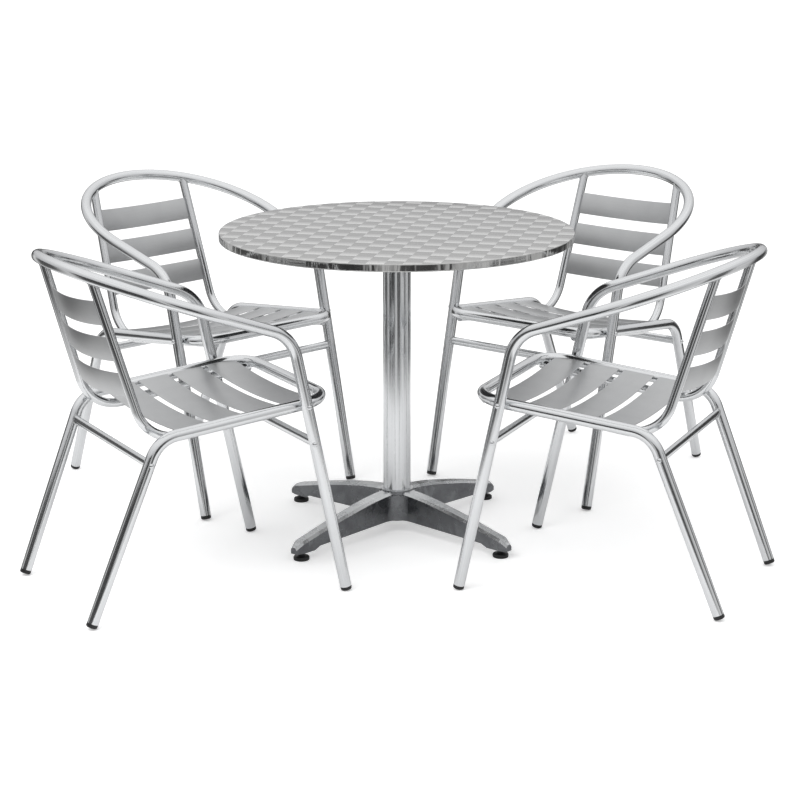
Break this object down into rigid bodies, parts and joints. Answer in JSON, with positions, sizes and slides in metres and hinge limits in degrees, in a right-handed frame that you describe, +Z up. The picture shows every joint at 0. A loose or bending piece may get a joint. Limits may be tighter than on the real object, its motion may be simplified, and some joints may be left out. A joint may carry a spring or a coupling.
{
  "type": "patio dining set",
  "caption": "Round pedestal bistro table with a patterned metal top and matching slat-back armchairs of bent tube.",
  "frame": {"origin": "on the floor, at the centre of the set's footprint", "axes": "+Z up; +Y from the front of the set to its back; +X to the right, along the set's longer side"},
  "size_m": [1.6644, 1.5431, 0.741],
  "materials": {
    "polished_aluminium": "polished round tube, bright, with streaks along its length",
    "satin_aluminium": "satin anodised sheet",
    "cast_aluminium": "tumbled casting, dark satin",
    "patterned_steel": "stainless sheet brushed in crossed rectangular patches",
    "black_plastic": "moulded, satin black"
  },
  "bodies": {
    "table": {"table_top": "patterned_steel", "top_spider": "cast_aluminium", "column": "polished_aluminium", "base_casting": "cast_aluminium"},
    "levelling_foot_1": {"levelling_foot_1": "black_plastic"},
    "levelling_foot_2": {"levelling_foot_2": "black_plastic"},
    "levelling_foot_3": {"levelling_foot_3": "black_plastic"},
    "levelling_foot_4": {"levelling_foot_4": "black_plastic"},
    "chair_1": {"chair_1_arm_hoop": "polished_aluminium", "chair_1_seat_frame": "polished_aluminium", "chair_1_right_upright": "polished_aluminium", "chair_1_left_upright": "polished_aluminium", "chair_1_front_stretcher": "polished_aluminium", "chair_1_rear_stretcher": "polished_aluminium", "chair_1_seat_slat_1": "satin_aluminium", "chair_1_seat_slat_2": "satin_aluminium", "chair_1_seat_slat_3": "satin_aluminium", "chair_1_seat_slat_4": "satin_aluminium", "chair_1_back_slat_bottom": "satin_aluminium", "chair_1_back_slat_middle": "satin_aluminium", "chair_1_back_slat_top": "satin_aluminium"},
    "chair_2": {"chair_2_arm_hoop": "polished_aluminium", "chair_2_seat_frame": "polished_aluminium", "chair_2_right_upright": "polished_aluminium", "chair_2_left_upright": "polished_aluminium", "chair_2_front_stretcher": "polished_aluminium", "chair_2_rear_stretcher": "polished_aluminium", "chair_2_seat_slat_1": "satin_aluminium", "chair_2_seat_slat_2": "satin_aluminium", "chair_2_seat_slat_3": "satin_aluminium", "chair_2_seat_slat_4": "satin_aluminium", "chair_2_back_slat_bottom": "satin_aluminium", "chair_2_back_slat_middle": "satin_aluminium", "chair_2_back_slat_top": "satin_aluminium"},
    "chair_3": {"chair_3_arm_hoop": "polished_aluminium", "chair_3_seat_frame": "polished_aluminium", "chair_3_right_upright": "polished_aluminium", "chair_3_left_upright": "polished_aluminium", "chair_3_front_stretcher": "polished_aluminium", "chair_3_rear_stretcher": "polished_aluminium", "chair_3_seat_slat_1": "satin_aluminium", "chair_3_seat_slat_2": "satin_aluminium", "chair_3_seat_slat_3": "satin_aluminium", "chair_3_seat_slat_4": "satin_aluminium", "chair_3_back_slat_bottom": "satin_aluminium", "chair_3_back_slat_middle": "satin_aluminium", "chair_3_back_slat_top": "satin_aluminium"},
    "chair_4": {"chair_4_arm_hoop": "polished_aluminium", "chair_4_seat_frame": "polished_aluminium", "chair_4_right_upright": "polished_aluminium", "chair_4_left_upright": "polished_aluminium", "chair_4_front_stretcher": "polished_aluminium", "chair_4_rear_stretcher": "polished_aluminium", "chair_4_seat_slat_1": "satin_aluminium", "chair_4_seat_slat_2": "satin_aluminium", "chair_4_seat_slat_3": "satin_aluminium", "chair_4_seat_slat_4": "satin_aluminium", "chair_4_back_slat_bottom": "satin_aluminium", "chair_4_back_slat_middle": "satin_aluminium", "chair_4_back_slat_top": "satin_aluminium"}
  },
  "joints": [
    {"name": "chair_1_pull_out", "type": "slide", "parent": "table", "child": "chair_1", "axis": [-0.8721, -0.4894, 0], "range_m": [0, 0.4]},
    {"name": "chair_2_pull_out", "type": "slide", "parent": "table", "child": "chair_2", "axis": [0.9114, -0.4115, 0], "range_m": [0, 0.4]},
    {"name": "chair_3_pull_out", "type": "slide", "parent": "table", "child": "chair_3", "axis": [0.628, 0.7782, 0], "range_m": [0, 0.4]},
    {"name": "chair_4_pull_out", "type": "slide", "parent": "table", "child": "chair_4", "axis": [-0.7046, 0.7096, 0], "range_m": [0, 0.4]},
    {"name": "levelling_foot_1_screw_out", "type": "slide", "parent": "table", "child": "levelling_foot_1", "axis": [0, 0, -1], "range_m": [0, 0.01]},
    {"name": "levelling_foot_2_screw_out", "type": "slide", "parent": "table", "child": "levelling_foot_2", "axis": [0, 0, -1], "range_m": [0, 0.01]},
    {"name": "levelling_foot_3_screw_out", "type": "slide", "parent": "table", "child": "levelling_foot_3", "axis": [0, 0, -1], "range_m": [0, 0.01]},
    {"name": "levelling_foot_4_screw_out", "type": "slide", "parent": "table", "child": "levelling_foot_4", "axis": [0, 0, -1], "range_m": [0, 0.01]}
  ]
}
